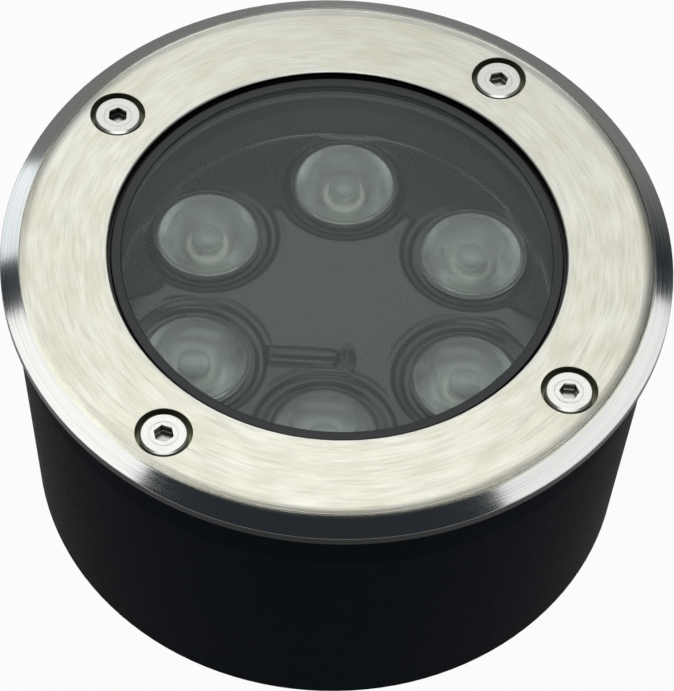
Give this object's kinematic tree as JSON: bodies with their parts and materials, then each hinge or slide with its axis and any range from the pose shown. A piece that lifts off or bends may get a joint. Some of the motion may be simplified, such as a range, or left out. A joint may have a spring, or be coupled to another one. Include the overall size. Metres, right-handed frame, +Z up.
{
  "type": "in-ground well light",
  "caption": "Round in-ground light: lensed lamp unit under glass and a screwed stainless trim ring, hung in a black burial sleeve.",
  "frame": {"origin": "centre of the burial sleeve's base, which is the bottom centre of the bounding box", "axes": "+Z up along the light's axis, out of the glass; +X to the right in the reference view"},
  "size_m": [0.15, 0.15, 0.0765],
  "materials": {
    "black_plastic": "smooth matte moulded surface",
    "cast_aluminium": "dark grey powder coat on a fine cast grain",
    "brushed_stainless": "face brushed along the circle, bevel and lip turned bright",
    "screw_steel": "bright turned steel",
    "clear_glass": "clear tempered glass with a polished face",
    "dark_silicone": "matte dark grey silicone",
    "dark_resin": "glossy dark grey cast resin",
    "lens_acrylic": "frosted clear acrylic dome",
    "black_nylon": "plain moulded nylon",
    "emitter_silicone": "yellow phosphor under a clear dome",
    "white_solder_mask": "white mask on an aluminium core board",
    "plain_aluminium": "sawn and deburred",
    "green_laminate": "green masked laminate",
    "ferrite": "dull dark ferrite",
    "capacitor_film": "dark blue film",
    "black_epoxy": "moulded epoxy",
    "red_insulation": "smooth flexible insulation",
    "black_insulation": "smooth flexible insulation",
    "shrink_tube": "satin heat-shrink tube",
    "plated_brass": "nickel plate over brass",
    "black_rubber": "matte moulded rubber"
  },
  "bodies": {
    "sleeve_unit": {"sleeve": "black_plastic"},
    "lamp_unit": {"lamp_body": "cast_aluminium", "resin_fill": "dark_resin", "lens_1": "lens_acrylic", "lens_2": "lens_acrylic", "lens_3": "lens_acrylic", "lens_4": "lens_acrylic", "lens_5": "lens_acrylic", "lens_6": "lens_acrylic", "lens_holder_1": "black_nylon", "lens_holder_2": "black_nylon", "lens_holder_3": "black_nylon", "lens_holder_4": "black_nylon", "lens_holder_5": "black_nylon", "lens_holder_6": "black_nylon", "led_1": "emitter_silicone", "led_2": "emitter_silicone", "led_3": "emitter_silicone", "led_4": "emitter_silicone", "led_5": "emitter_silicone", "led_6": "emitter_silicone", "led_board": "white_solder_mask", "heat_plate": "plain_aluminium", "board_screws": "screw_steel", "driver_board": "green_laminate", "driver_inductor": "ferrite", "driver_capacitors": "capacitor_film", "driver_chip": "black_epoxy", "driver_screws": "screw_steel", "feed_lead": "red_insulation", "link_lead": "red_insulation", "return_lead": "black_insulation", "splice_sleeve": "shrink_tube", "gland_body": "plated_brass", "gland_washer": "black_rubber"},
    "ring_unit": {"trim_ring": "brushed_stainless"},
    "screw_unit": {"trim_screws": "screw_steel"},
    "glass_unit": {"glass": "clear_glass", "glass_gasket": "dark_silicone"},
    "seal_unit": {"gland_seal": "black_rubber"},
    "nut_unit": {"gland_nut": "plated_brass"}
  },
  "joints": [
    {"name": "lamp_lift", "type": "slide", "parent": "sleeve_unit", "child": "lamp_unit", "axis": [0, 0, 1], "range_m": [0, 0.09]},
    {"name": "ring_lift", "type": "slide", "parent": "lamp_unit", "child": "ring_unit", "axis": [0, 0, 1], "range_m": [0, 0.05]},
    {"name": "screw_draw", "type": "slide", "parent": "ring_unit", "child": "screw_unit", "axis": [0, 0, 1], "range_m": [0, 0.03]},
    {"name": "glass_lift", "type": "slide", "parent": "lamp_unit", "child": "glass_unit", "axis": [0, 0, 1], "range_m": [0, 0.025]},
    {"name": "seal_press", "type": "slide", "parent": "lamp_unit", "child": "seal_unit", "axis": [0, 0, 1], "range_m": [0, 0.003]},
    {"name": "nut_turn", "type": "hinge", "parent": "seal_unit", "child": "nut_unit", "pos_m": [0, 0, 0.012], "axis": [0, 0, 1], "range_deg": [0, 720]}
  ],
  "couplings": [
    {"joint": "glass_lift", "follows": "ring_lift", "ratio": 0.5},
    {"joint": "seal_press", "follows": "nut_turn", "m_per_rad": 0.00023873}
  ]
}
